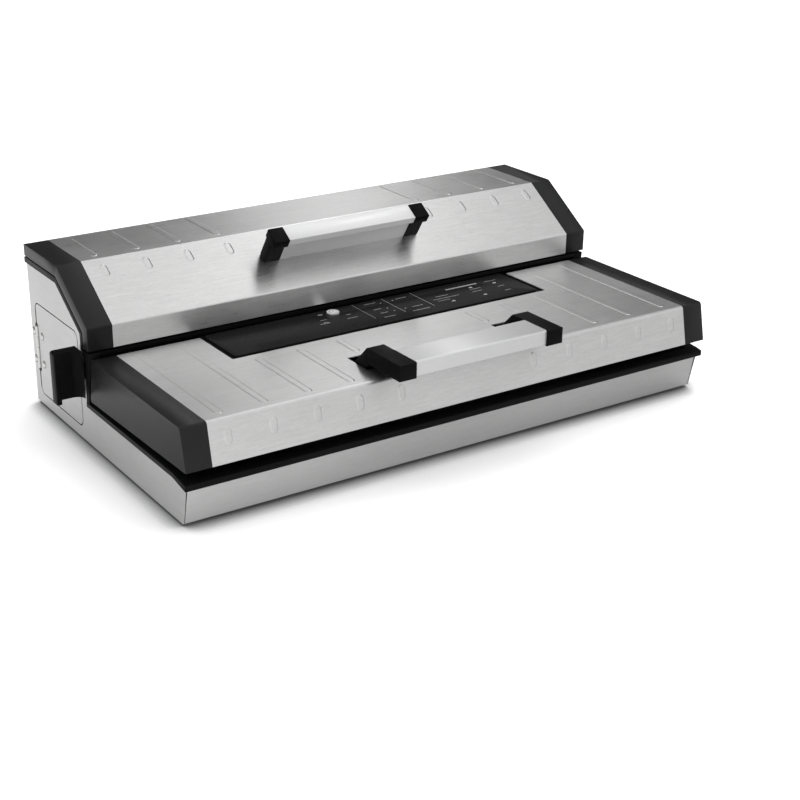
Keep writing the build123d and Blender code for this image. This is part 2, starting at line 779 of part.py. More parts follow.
def front_lid():
    """Front lid: steel skin, end caps, inner panel with the latch bearings."""
    run = hypot(brow_y - chin_y, front_top - chin_z)
    nose_y = sheet * run / (front_top - chin_z)
    lean_y = (brow_y - chin_y) / (front_top - chin_z)
    brow_in = brow_y + nose_y - sheet * lean_y
    profile = [
        (front_back, front_top),
        (brow_y, front_top),
        (chin_y, chin_z),
        (chin_y + nose_y, chin_z),
        (brow_in, front_top - sheet),
        (front_back, front_top - sheet),
    ]
    skin = slice_x(profile, -steel_x, steel_x)
    bends = skin.edges().filter_by(Axis.X).sort_by_distance((0, brow_y, front_top))[:1]
    skin = fillet(bends, brow_round)
    inner = skin.edges().filter_by(Axis.X).sort_by_distance((0, brow_in, front_top - sheet))[:1]
    skin = fillet(inner, brow_round - sheet)
    cut = (front_top - 3, front_top + 1)
    skin -= rounded(-notch_x, notch_x, notch_front, front_back + 20, *cut, notch_round)
    opening = block(latch_opening_inner, latch_half + 0.5, latch_opening_front, latch_opening_back, *cut)
    for side in both_sides(opening):
        skin -= side
    for count in range(5):
        x = bead_first + bead_pitch * count
        back = front_back - bead_end if x > notch_x else notch_front - bead_gap
        front = latch_opening_back + bead_gap if x < latch_half else brow_y + bead_gap
        for side in (-x, x):
            skin += bead((front + back) / 2, front_top, 0, back - front, bead_rise, side)
            y = chin_y + (chin_bead_z - chin_z) * lean_y
            skin += bead(y, chin_bead_z, 90 - degrees(atan2(lean_y, 1)), bead_short, bead_short_rise, side)
    write("front_lid_skin", skin)

    cap = slice_x([
        (front_back, front_top),
        (brow_y, front_top),
        (chin_y, chin_z),
        (heel_y, heel_z),
    ], steel_x, cap_x)
    cap = fillet(cap.edges().filter_by(Axis.X).sort_by_distance((steel_x, brow_y, front_top))[:1], brow_round)
    cap = fillet(cap.edges().filter_by(Axis.X).sort_by_distance((steel_x, heel_y, heel_z))[:1], heel_round)
    below = 8.0
    cap -= slice_x([
        (front_back - cap_rear_wall, front_top - moulding),
        (brow_y + cap_front_wall, front_top - moulding),
        (chin_y + cap_front_wall, chin_z - below),
        (heel_y - cap_rear_wall, heel_z - below),
    ], steel_x + moulding, cap_x - moulding)
    ear = ear_x - ear_room
    cap -= block(ear, ear + ear_thick + 2 * ear_room, front_back - 10, heel_y + 1, heel_z - below,
                 front_axis[1] + 3)
    cap -= rod_x(steel_x - 1, cap_x - 1, *front_axis, pin_r + running)
    write("front_lid_caps", *both_sides(cap))

    low = liner_bottom
    high = low + liner_thick
    wall = notch_x + moulding
    back = front_back - 2
    floor = block(-steel_x, steel_x, liner_front, back, low, high)
    floor -= block(-wall, wall, notch_front - moulding, front_back + 1, low - 1, high + 1)
    skin_under = front_top - sheet
    floor += block(-wall, wall, notch_front - moulding, notch_front, low, skin_under)
    for side in both_sides(block(notch_x, wall, notch_front - moulding, back, low, skin_under)):
        floor += side
    for spot in bearing_spots:
        post = block(spot - bearing_half, spot + bearing_half, latch_axis[0] - 8, latch_axis[0] + 8, high,
                     bearing_top)
        for side in both_sides(post):
            floor += side
    for side in both_sides(block(hook_x - 8, hook_x + 8, 26, 68, low - 1, high + 1)):
        floor -= side
    floor -= rod_x(-steel_x, steel_x, *latch_axis, latch_shaft_r + running)
    floor -= gasket_ring(low - 1, low + groove_depth, 0.1)
    floor -= block(-seal_half - 0.1, seal_half + 0.1, seal_front - 0.1, seal_back + 0.1, low - 1,
                   low + groove_depth)
    write("front_lid_liner", floor)


def latch():
    """The latch handle: bar, arms, and the shaft with its hooks."""
    inner = latch_opening_inner + 1.2
    outer = latch_half - 0.7
    bar = block(-inner, inner, bar_front, bar_back, bar_bottom, bar_top)
    bar = fillet(bar.edges().filter_by(Axis.X), 1.8)
    write("latch_handle_bar", bar)
    y, z = latch_axis
    arm = slice_x([
        (bar_front - arm_over, bar_bottom - 0.5),
        (bar_front - arm_over, bar_top - 0.2),
        (34.4, bar_top - 0.2),
        (y + 5.5, z + 9.0),
        (y + 7, z),
        (y - 7, z),
        (y - 8, z + 4),
        (latch_opening_front + 2.5, front_top + 1.7),
        (30, bar_bottom - 0.5),
    ], inner, outer)
    arm += rod_x(inner, outer, y, z, 7)
    arm -= rod_x(inner - 1, outer + 1, y, z, latch_shaft_r)
    write("latch_handle_arms", *both_sides(arm))
    shaft = rod_x(-hook_x - hook_thick / 2, hook_x + hook_thick / 2, y, z, latch_shaft_r)
    hook = slice_x([
        (y - 5, z),
        (y + 4, z),
        (y + 2, striker[1] + 6),
        (y + 1, striker[1] - 2.4),
        (striker[0] - striker_r - free_gap, striker[1] - 2.4),
        (striker[0] - striker_r - free_gap, hook_foot),
        (y - 5, hook_foot),
    ], hook_x - hook_thick / 2, hook_x + hook_thick / 2)
    hook += rod_x(hook_x - hook_thick / 2, hook_x + hook_thick / 2, y, z, 6)
    for side in both_sides(hook):
        shaft += side
    write("latch_shaft", shaft)


def base_ironwork():
    """Strikers, switches and hinge ears that stand on the deck."""
    y, z = striker
    plates = []
    gap = hook_thick / 2 + 3
    for offset in (-gap - 2, gap):
        plates.append(block(hook_x + offset, hook_x + offset + 2, y - 5, y + 5, deck_top, z + 4))
    iron = plates[0] + plates[1] + block(hook_x - gap - 2, hook_x + gap + 2, y + 3.5, y + 5, deck_top, z - 3)
    iron += rod_x(hook_x - gap - 2, hook_x + gap + 2, y, z, striker_r)
    write("latch_strikers", *both_sides(iron))

    switch = block(248, 255, 78, 98, deck_top, deck_top + 8) + block(249.5, 253.5, 84, 87, deck_top + 8,
                                                                    liner_bottom - free_gap)
    write("lid_switches", *both_sides(switch))

    hy, hz = front_axis
    ear = block(ear_x, ear_x + ear_thick, hy - 4, hy + 4, rail_top, hz)
    ear += rod_x(ear_x, ear_x + ear_thick, hy, hz, 4)
    ear += rod_x(steel_x - 0.5, cap_x - 1.5, hy, hz, pin_r)
    write("front_lid_hinges", *both_sides(ear))


def rear_hinges():
    """Two barrel hinges behind the rear lid."""
    y, z = rear_axis
    barrel = rear_barrel_half
    fixed_leaves = []
    lid_leaves = []
    for x in (-rear_hinge_x, rear_hinge_x):
        fixed = block(x - rear_hinge_half, x + rear_hinge_half, base_back, base_back + 1.2, z - 25, z)
        moving = block(x - barrel, x + barrel, lid_back, lid_back + 1.2, z + 5, z + 12)
        web = [(lid_back, z + 5), (lid_back + 1.2, z + 6), (y + 2.2, z + 1.5), (y - 2.6, z + 1.1)]
        moving += slice_x(web, x - barrel, x + barrel)
        moving += rod_x(x - barrel, x + barrel, y, z, barrel_r)
        moving -= rod_x(x - barrel - 1, x + barrel + 1, y, z, rear_pin_r + running)
        for side in (-1, 1):
            inner = x + side * (barrel + free_gap)
            end = x + side * rear_hinge_half
            fixed += rod_x(min(inner, end), max(inner, end), y, z, barrel_r)
        room = barrel + free_gap
        fixed -= block(x - room, x + room, base_back - 1, y + 5, z - barrel_r - free_gap, z + 5)
        fixed += rod_x(x - rear_hinge_half, x + rear_hinge_half, y, z, rear_pin_r)
        fixed_leaves.append(fixed)
        lid_leaves.append(moving)
    write("rear_hinge_leaves", *fixed_leaves)
    write("rear_hinge_lid_leaves", *lid_leaves)


def side_door():
    """The left door with its slim hinge and black pull."""
    x, y = door_axis_x, door_axis_y
    panel = door_outline(0, -side_x, -side_x + door_sheet)
    panel -= knuckle_opening()
    panel -= block(-side_x - 1, -side_in + 2, y - door_seam, y + 2, 0, door_top + 2)
    heights = rivet_heights()
    for z in heights:
        panel -= rod_x(-side_x - 1, -side_in + 2, y - rivet_front, z, rivet_r + running)
    write("side_door_panel", panel)

    count = 4
    length = (knuckle_high - knuckle_low) / count
    behind = -side_x + door_sheet
    fixed = block(-side_in, -side_in + 1, y + 1.0, y + 11, knuckle_low, knuckle_high)
    moving = block(behind, behind + 1, y - 20, y - 1.0, knuckle_low, knuckle_high)
    for index in range(count):
        low = knuckle_low + index * length + free_gap / 2
        high = low + length - free_gap
        barrel = rod_z(x, y, low, high, knuckle_r)
        relief = rod_z(x, y, low - free_gap, high + free_gap, knuckle_r + free_gap)
        if index % 2:
            fixed -= relief
            moving += barrel + block(x, x + 1.7, y - 2, y, low, high)
        else:
            moving -= relief
            fixed += barrel + block(x + 0.2, x + 1.2, y, y + 2, low, high)
    for z in heights:
        back = y + rivet_back
        front = y - rivet_front
        fixed += rod_x(-side_x, -side_in, back, z, rivet_r) + rivet_dome(back, z)
        moving += rod_x(-side_x, behind, front, z, rivet_r) + rivet_dome(front, z)
    pin = rod_z(x, y, knuckle_low, knuckle_high, 0.9)
    moving -= rod_z(x, y, knuckle_low - 1, knuckle_high + 1, 0.9 + running)
    write("door_hinge_frame_leaf", fixed + pin)
    write("door_hinge_leaf", moving)

    outer = -pull_reach
    root = -trim_x - 0.5
    grip = block(outer, root, pull_front, pull_back, pull_low, pull_high)
    grip += block(outer, outer + pull_lip, pull_front, pull_back, pull_lip_low, pull_high)
    upright = grip.edges().filter_by(Axis.Y).sort_by_distance((outer, pull_front, pull_high))[:1]
    grip = fillet(upright, pull_round)
    grip -= block(outer + pull_lip, root - 2, pull_front + moulding, pull_back + 1, pull_low + moulding,
                  pull_high - moulding)
    sweep = pull_front - pull_root_front
    cove = block(root - sweep, root, pull_front - sweep, pull_front, pull_low, pull_high)
    cove -= rod_z(root - sweep, pull_front - sweep, pull_low - 1, pull_high + 1, sweep)
    low = pull_low + flange_inset
    high = pull_high - flange_inset
    flange = block(root - 2, root, pull_front, pull_back + flange_length, low, high)
    flange += block(root - 2, -side_x, door_front + door_seam, pull_back + flange_length, low, high)
    write("side_door_pull", grip + cove + flange)


def rivet_dome(y, z):
    """A low round rivet head on the outer face of the left side."""
    radius = (rivet_head_r ** 2 + rivet_head_rise ** 2) / (2 * rivet_head_rise)
    ball = Pos(-side_x - rivet_head_rise + radius, y, z) * Sphere(radius)
    half = radius + 1
    return ball & block(-side_x - half, -side_x, y - half, y + half, z - half, z + half)


def knuckle_opening():
    """The round-ended slot through the steel round the door's knuckles."""
    x = -side_in + 2
    y = door_axis_y
    cut = block(-side_x - 1, x, y - knuckle_slot, y + knuckle_slot, knuckle_low, knuckle_high)
    for z in (knuckle_low, knuckle_high):
        cut += rod_x(-side_x - 1, x, y, z, knuckle_slot)
    return cut


os.makedirs("parts", exist_ok=True)
base_shell()
deck()
sealing_parts()
console()
electrics()
machinery()
roll_bay()
rear_lid()
front_lid()
latch()
base_ironwork()
rear_hinges()
side_door()
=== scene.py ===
import json
import math
import random
import bmesh
import bpy
from mathutils import Matrix, Vector


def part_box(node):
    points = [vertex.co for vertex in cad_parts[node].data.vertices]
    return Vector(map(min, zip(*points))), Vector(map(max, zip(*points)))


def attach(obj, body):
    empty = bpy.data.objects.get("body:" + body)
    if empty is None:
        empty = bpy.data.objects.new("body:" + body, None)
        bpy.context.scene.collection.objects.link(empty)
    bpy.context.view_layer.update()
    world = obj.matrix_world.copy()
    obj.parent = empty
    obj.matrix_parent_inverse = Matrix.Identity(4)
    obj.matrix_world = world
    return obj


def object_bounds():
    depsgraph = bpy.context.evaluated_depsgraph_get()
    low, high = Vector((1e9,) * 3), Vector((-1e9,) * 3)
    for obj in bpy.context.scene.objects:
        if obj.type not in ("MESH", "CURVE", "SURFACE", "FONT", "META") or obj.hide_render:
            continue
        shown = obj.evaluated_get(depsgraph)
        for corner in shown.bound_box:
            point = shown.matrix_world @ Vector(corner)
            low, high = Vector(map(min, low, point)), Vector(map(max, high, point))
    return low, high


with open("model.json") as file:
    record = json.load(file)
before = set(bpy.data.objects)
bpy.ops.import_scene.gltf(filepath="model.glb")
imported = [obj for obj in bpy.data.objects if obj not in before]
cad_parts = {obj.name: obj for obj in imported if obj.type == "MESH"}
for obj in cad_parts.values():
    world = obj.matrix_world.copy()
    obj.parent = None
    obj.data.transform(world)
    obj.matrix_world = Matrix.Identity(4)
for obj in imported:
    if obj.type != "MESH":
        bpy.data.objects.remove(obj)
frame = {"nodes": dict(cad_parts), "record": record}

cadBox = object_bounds()
nodes = frame["nodes"]
scene = bpy.context.scene
rng = random.Random(41)
print("vacuum sealer: frame loaded,", len(nodes), "pieces")


def addNode(tree, kind, at=(0, 0), **values):  # a value is a property of the node or one of its inputs
    node = tree.nodes.new(kind)
    node.location = at
    for key, value in values.items():
        if hasattr(node, key):
            setattr(node, key, value)
        else:
            node.inputs[key].default_value = value
    return node


def wire(tree, source, target):
    tree.links.new(source, target)


def newGroup(name, inputs, outputs):
    group = bpy.data.node_groups.new(name, "ShaderNodeTree")
    for label, kind, value in inputs:
        socket = group.interface.new_socket(label, in_out="INPUT", socket_type=kind)
        socket.default_value = value
    for label, kind in outputs:
        group.interface.new_socket(label, in_out="OUTPUT", socket_type=kind)
    enter = addNode(group, "NodeGroupInput", (-1200, 0))
    leave = addNode(group, "NodeGroupOutput", (600, 0))
    return group, enter, leave


def mathNode(tree, operation, first, second, at=(0, 0)):  # either may be a number or a socket
    node = addNode(tree, "ShaderNodeMath", at, operation=operation)
    for index, value in enumerate((first, second)):
        if isinstance(value, (int, float)):
            node.inputs[index].default_value = value
        elif value is not None:
            wire(tree, value, node.inputs[index])
    return node.outputs[0]


grainShape = dict(coarser=0.24, cloudScale=9.0)  # coarser is the broad streaks' scale beside the fine ones'


def makeBrushGroup(shape):
    group, enter, leave = newGroup("brushedGrain", [
        ("Fineness", "NodeSocketVector", (150.0, 1500.0, 1500.0)),
        ("Broad", "NodeSocketFloat", 0.4),
    ], [("Streak", "NodeSocketFloat"), ("Cloud", "NodeSocketFloat")])
    place = addNode(group, "ShaderNodeTexCoord", (-1200, -300))
    stretch = addNode(group, "ShaderNodeVectorMath", (-900, 0), operation="MULTIPLY")
    wire(group, place.outputs["Object"], stretch.inputs[0])
    wire(group, enter.outputs["Fineness"], stretch.inputs[1])
    fine = addNode(group, "ShaderNodeTexNoise", (-650, 100), Scale=1.0, Detail=4.0, Roughness=0.7)
    wire(group, stretch.outputs[0], fine.inputs["Vector"])
    wider = addNode(group, "ShaderNodeVectorMath", (-900, -250), operation="SCALE")
    wire(group, stretch.outputs[0], wider.inputs[0])
    wider.inputs["Scale"].default_value = shape["coarser"]
    coarse = addNode(group, "ShaderNodeTexNoise", (-650, -250), Scale=1.0, Detail=2.0, Roughness=0.5)
    wire(group, wider.outputs[0], coarse.inputs["Vector"])
    cloud = addNode(group, "ShaderNodeTexNoise", (-650, -500), Scale=shape["cloudScale"], Detail=3.0,
                    Roughness=0.5)
    wire(group, place.outputs["Object"], cloud.inputs["Vector"])
    blend = addNode(group, "ShaderNodeMix", (-350, 0), data_type="FLOAT")
    wire(group, enter.outputs["Broad"], blend.inputs[0])
    wire(group, fine.outputs[0], blend.inputs[2])
    wire(group, coarse.outputs[0], blend.inputs[3])
    wire(group, blend.outputs[0], leave.inputs["Streak"])
    wire(group, cloud.outputs[0], leave.inputs["Cloud"])
    return group


def makeMouldGroup():
    group, enter, leave = newGroup("mouldTexture", [
        ("Grain Scale", "NodeSocketFloat", 1800.0),
        ("Blotch Scale", "NodeSocketFloat", 14.0),
    ], [("Height", "NodeSocketFloat"), ("Blotch", "NodeSocketFloat")])
    place = addNode(group, "ShaderNodeTexCoord", (-1200, -300))
    pit = addNode(group, "ShaderNodeTexNoise", (-700, 100), Detail=2.0, Roughness=0.6)
    wire(group, place.outputs["Object"], pit.inputs["Vector"])
    wire(group, enter.outputs["Grain Scale"], pit.inputs["Scale"])
    blotch = addNode(group, "ShaderNodeTexNoise", (-700, -200), Detail=4.0, Roughness=0.55)
    wire(group, place.outputs["Object"], blotch.inputs["Vector"])
    wire(group, enter.outputs["Blotch Scale"], blotch.inputs["Scale"])
    wire(group, pit.outputs[0], leave.inputs["Height"])
    wire(group, blotch.outputs[0], leave.inputs["Blotch"])
    return group


handlingShape = dict(smudgeFull=0.85, dustScale=900.0, dustFrom=0.66, dustFull=0.78)


def makeHandlingGroup(shape):
    group, enter, leave = newGroup("handling", [
        ("Size", "NodeSocketFloat", 20.0),
        ("Spread", "NodeSocketFloat", 0.5),
    ], [("Smudge", "NodeSocketFloat"), ("Dust", "NodeSocketFloat")])
    place = addNode(group, "ShaderNodeTexCoord", (-1200, -300))
    patches = addNode(group, "ShaderNodeTexNoise", (-800, 100), Detail=5.0, Roughness=0.6, Distortion=0.8)
    wire(group, place.outputs["Object"], patches.inputs["Vector"])
    wire(group, enter.outputs["Size"], patches.inputs["Scale"])
    smudge = addNode(group, "ShaderNodeMapRange", (-500, 100))
    wire(group, patches.outputs[0], smudge.inputs["Value"])
    wire(group, enter.outputs["Spread"], smudge.inputs["From Min"])
    smudge.inputs["From Max"].default_value = shape["smudgeFull"]
    speck = addNode(group, "ShaderNodeTexNoise", (-800, -200), Scale=shape["dustScale"], Detail=1.0)
    wire(group, place.outputs["Object"], speck.inputs["Vector"])
    dust = addNode(group, "ShaderNodeMapRange", (-500, -200))
    wire(group, speck.outputs[0], dust.inputs["Value"])
    dust.inputs["From Min"].default_value = shape["dustFrom"]
    dust.inputs["From Max"].default_value = shape["dustFull"]
    wire(group, smudge.outputs[0], leave.inputs["Smudge"])
    wire(group, dust.outputs[0], leave.inputs["Dust"])
    return group


# pale edges on the plastics: partly wear, partly a painted highlight
paleEdgeShape = dict(openFrom=0.9, openFull=0.55, patchScale=70.0, patchFull=0.75)


def makeEdgeGroup(shape):
    group, enter, leave = newGroup("edgeWearAndHighlight", [
        ("Reach", "NodeSocketFloat", 0.0006),
        ("Patchy", "NodeSocketFloat", 0.5),
    ], [("Edge", "NodeSocketFloat")])
    near = addNode(group, "ShaderNodeAmbientOcclusion", (-800, 100), samples=6, inside=True,
                   only_local=True)
    wire(group, enter.outputs["Reach"], near.inputs["Distance"])
    edge = addNode(group, "ShaderNodeMapRange", (-500, 100))
    wire(group, near.outputs["AO"], edge.inputs["Value"])
    edge.inputs["From Min"].default_value = shape["openFrom"]
    edge.inputs["From Max"].default_value = shape["openFull"]
    place = addNode(group, "ShaderNodeTexCoord", (-1200, -300))
    patch = addNode(group, "ShaderNodeTexNoise", (-800, -200), Scale=shape["patchScale"], Detail=4.0,
                    Roughness=0.65)
    wire(group, place.outputs["Object"], patch.inputs["Vector"])
    keep = addNode(group, "ShaderNodeMapRange", (-500, -200))
    wire(group, patch.outputs[0], keep.inputs["Value"])
    wire(group, enter.outputs["Patchy"], keep.inputs["From Min"])
    keep.inputs["From Max"].default_value = shape["patchFull"]
    paleEdgeMask = mathNode(group, "MULTIPLY", edge.outputs[0], keep.outputs[0], (-200, 0))
    wire(group, paleEdgeMask, leave.inputs["Edge"])
    return group


brushedGrain = makeBrushGroup(grainShape)
mouldTexture = makeMouldGroup()
handling = makeHandlingGroup(handlingShape)
edgeWearAndHighlight = makeEdgeGroup(paleEdgeShape)
print("node groups made")


def newMaterial(name):
    material = bpy.data.materials.new(name)
    material.use_nodes = True
    tree = material.node_tree
    shader = next(n for n in tree.nodes if n.type == "BSDF_PRINCIPLED")
    return material, tree, shader


def placeGroup(tree, group, values, at):
    node = addNode(tree, "ShaderNodeGroup", at)
    node.node_tree = group
    for key, value in values.items():
        node.inputs[key].default_value = value
    return node


def spread(tree, value, low, high, at, inLow=0.3, inHigh=0.7):  # most noise lies between 0.3 and 0.7
    node = addNode(tree, "ShaderNodeMapRange", at)
    wire(tree, value, node.inputs["Value"])
    node.inputs["From Min"].default_value = inLow
    node.inputs["From Max"].default_value = inHigh
    node.inputs["To Min"].default_value = low
    node.inputs["To Max"].default_value = high
    return node.outputs[0]


def tint(tree, factor, dark, light, at):
    node = addNode(tree, "ShaderNodeMix", at, data_type="RGBA")
    wire(tree, factor, node.inputs[0])
    for index, value in ((6, dark), (7, light)):
        if isinstance(value, tuple):
            node.inputs[index].default_value = (*value, 1)
        else:
            wire(tree, value, node.inputs[index])
    return node.outputs[2]


def bumpInto(tree, shader, height, strength, distance):
    bump = addNode(tree, "ShaderNodeBump", (-250, -400), Strength=strength, Distance=distance)
    wire(tree, height, bump.inputs["Height"])
    wire(tree, bump.outputs[0], shader.inputs["Normal"])


steelTouch = dict(smudgeSize=11.0, smudgeSpread=0.5, smudge=0.05, cloud=(-0.02, 0.03), bumpDepth=0.00004)


def steelFinish(name, look):
    material, tree, shader = newMaterial(name)
    grain = placeGroup(tree, brushedGrain, {"Fineness": look["fineness"], "Broad": look["broad"]},
                       (-1100, 0))
    hands = placeGroup(tree, handling, {"Size": steelTouch["smudgeSize"],
                                        "Spread": steelTouch["smudgeSpread"]}, (-1100, -300))
    streak = spread(tree, grain.outputs["Streak"], 0, 1, (-850, 200))
    colour = tint(tree, streak, look["dark"], look["light"], (-600, 200))
    wire(tree, colour, shader.inputs["Base Color"])
    rough = spread(tree, grain.outputs["Streak"], look["smooth"], look["rough"], (-850, 0))
    cloud = spread(tree, grain.outputs["Cloud"], *steelTouch["cloud"], (-850, -150))
    smear = mathNode(tree, "MULTIPLY", hands.outputs["Smudge"], steelTouch["smudge"], (-850, -300))
    rough = mathNode(tree, "ADD", rough, cloud, (-600, 0))
    wire(tree, mathNode(tree, "ADD", rough, smear, (-400, 0)), shader.inputs["Roughness"])
    shader.inputs["Metallic"].default_value = look.get("metal", 1.0)
    if look["across"]:  # the brushing spreads a reflection across its own run
        shader.inputs["Anisotropic"].default_value = look["stretch"]
        run = addNode(tree, "ShaderNodeTangent", (-400, -600), direction_type="RADIAL",
                      axis=look["across"])
        wire(tree, run.outputs[0], shader.inputs["Tangent"])
    bumpInto(tree, shader, grain.outputs["Streak"], look["bump"], steelTouch["bumpDepth"])
    return material


plasticTouch = dict(blotchScale=14.0, smudgeSize=16.0, smudgeSpread=0.48, dust=(0.3, 0.3, 0.3),
                    paleEdgeReach=0.0007, paleEdgePatchy=0.38, paleEdgeBase=0.035, paleEdgeLift=4, bumpDepth=0.00008)


def plasticFinish(name, look):
    material, tree, shader = newMaterial(name)
    skin = placeGroup(tree, mouldTexture, {"Grain Scale": look["grain"],
                                           "Blotch Scale": plasticTouch["blotchScale"]}, (-1100, 0))
    hands = placeGroup(tree, handling, {"Size": plasticTouch["smudgeSize"],
                                        "Spread": plasticTouch["smudgeSpread"]}, (-1100, -300))
    tone = spread(tree, skin.outputs["Blotch"], 0, 1, (-850, 200))
    colour = tint(tree, tone, look["dark"], look["light"], (-600, 200))
    dust = mathNode(tree, "MULTIPLY", hands.outputs["Dust"], look["dust"], (-850, -450))
    colour = tint(tree, dust, colour, plasticTouch["dust"], (-400, 300))
    if look["wearAndHighlight"]:  # moulded edges rub paler, and the pale edge is also a painted highlight along them
        edge = placeGroup(tree, edgeWearAndHighlight, {"Reach": plasticTouch["paleEdgeReach"],
                                           "Patchy": plasticTouch["paleEdgePatchy"]}, (-1100, 500))
        paleEdgeMask = mathNode(tree, "MULTIPLY", edge.outputs["Edge"], look["wearAndHighlight"], (-850, 500))
        pale = tuple(min(1, plasticTouch["paleEdgeBase"] + plasticTouch["paleEdgeLift"] * part)
                     for part in look["light"])
        colour = tint(tree, paleEdgeMask, colour, pale, (-250, 400))
    wire(tree, colour, shader.inputs["Base Color"])
    rough = spread(tree, skin.outputs["Height"], look["smooth"], look["rough"], (-850, 0))
    smear = mathNode(tree, "MULTIPLY", hands.outputs["Smudge"], look["smudge"], (-850, -300))
    wire(tree, mathNode(tree, "SUBTRACT", rough, smear, (-600, 0)), shader.inputs["Roughness"])
    shader.inputs["Specular IOR Level"].default_value = look["gloss"]
    bumpInto(tree, shader, skin.outputs["Height"], look["bump"], plasticTouch["bumpDepth"])
    return material


# fineness is about how many streaks there are to a metre along x, y and z, and smooth and rough are the
# two ends of the roughness
steelLooks = {
    "lidSteel": dict(fineness=(190.0, 1900.0, 1900.0), broad=0.35, dark=(0.53, 0.53, 0.53),
                     light=(0.68, 0.68, 0.675), smooth=0.27, rough=0.34, across="X", stretch=0.8,
                     bump=0.06),
    # the front lid's steel, a little darker than lidSteel as painted shade, and rougher
    "frontLidSteelShaded": dict(fineness=(190.0, 1900.0, 1900.0), broad=0.35, dark=(0.515, 0.515, 0.515),
                          light=(0.655, 0.655, 0.65), smooth=0.35, rough=0.42, across="X", stretch=0.8,
                          bump=0.06),
    # the side steel, brushed upright and darkened as painted shade
    "sideSteelShaded": dict(fineness=(1900.0, 190.0, 1900.0), broad=0.35, dark=(0.44, 0.44, 0.44),
                      light=(0.52, 0.52, 0.517), smooth=0.32, rough=0.38, across="Y", stretch=0.7,
                      bump=0.07),
    # the base front's steel, darkened as painted shade
    "frontSteelShaded": dict(fineness=(190.0, 1900.0, 1900.0), broad=0.35, dark=(0.51, 0.51, 0.51),
                       light=(0.59, 0.59, 0.587), smooth=0.31, rough=0.37, across="X", stretch=0.8,
                       bump=0.07),
    "zincSteel": dict(fineness=(260.0, 260.0, 260.0), broad=0.6, dark=(0.42, 0.43, 0.44),
                      light=(0.6, 0.61, 0.62), smooth=0.35, rough=0.5, across="", stretch=0.0,
                      bump=0.1),
    "brightSteel": dict(fineness=(500.0, 500.0, 60.0), broad=0.4, dark=(0.62, 0.62, 0.61),
                        light=(0.74, 0.74, 0.73), smooth=0.18, rough=0.28, across="", stretch=0.0,
                        bump=0.06),
    "hingeSteel": dict(fineness=(500.0, 500.0, 60.0), broad=0.4, dark=(0.6, 0.6, 0.59),
                       light=(0.7, 0.7, 0.69), smooth=0.26, rough=0.34, across="", stretch=0.0,
                       bump=0.04, metal=0.6),
    "satinAluminium": dict(fineness=(300.0, 2600.0, 2600.0), broad=0.25, dark=(0.7, 0.7, 0.705),
                           light=(0.76, 0.76, 0.765), smooth=0.38, rough=0.44, across="X", stretch=0.6,
                           bump=0.05, metal=0.2),  # the clear oxide scatters most of the light
    # the handle's satin aluminium, darkened as painted shade for the latch bar
    "latchAluminiumShaded": dict(fineness=(300.0, 2600.0, 2600.0), broad=0.25, dark=(0.6, 0.6, 0.605),
                           light=(0.66, 0.66, 0.665), smooth=0.34, rough=0.4, across="X", stretch=0.6,
                           bump=0.05, metal=0.55),
    "buttonMetal": dict(fineness=(900.0, 900.0, 900.0), broad=0.2, dark=(0.8, 0.8, 0.81),
                        light=(0.88, 0.88, 0.89), smooth=0.3, rough=0.4, across="", stretch=0.0,
                        bump=0.06, metal=0.4),
    "motorCan": dict(fineness=(300.0, 300.0, 300.0), broad=0.5, dark=(0.25, 0.25, 0.26),
                     light=(0.34, 0.34, 0.35), smooth=0.35, rough=0.5, across="", stretch=0.0,
                     bump=0.1),
    "heaterStrip": dict(fineness=(40.0, 900.0, 900.0), broad=0.5, dark=(0.45, 0.38, 0.3),
                        light=(0.62, 0.56, 0.48), smooth=0.25, rough=0.4, across="", stretch=0.0,
                        bump=0.1),
    "copperWinding": dict(fineness=(30.0, 900.0, 1600.0), broad=0.5, dark=(0.55, 0.22, 0.09),
                          light=(0.8, 0.38, 0.18), smooth=0.25, rough=0.4, across="", stretch=0.0,
                          bump=0.5),
}
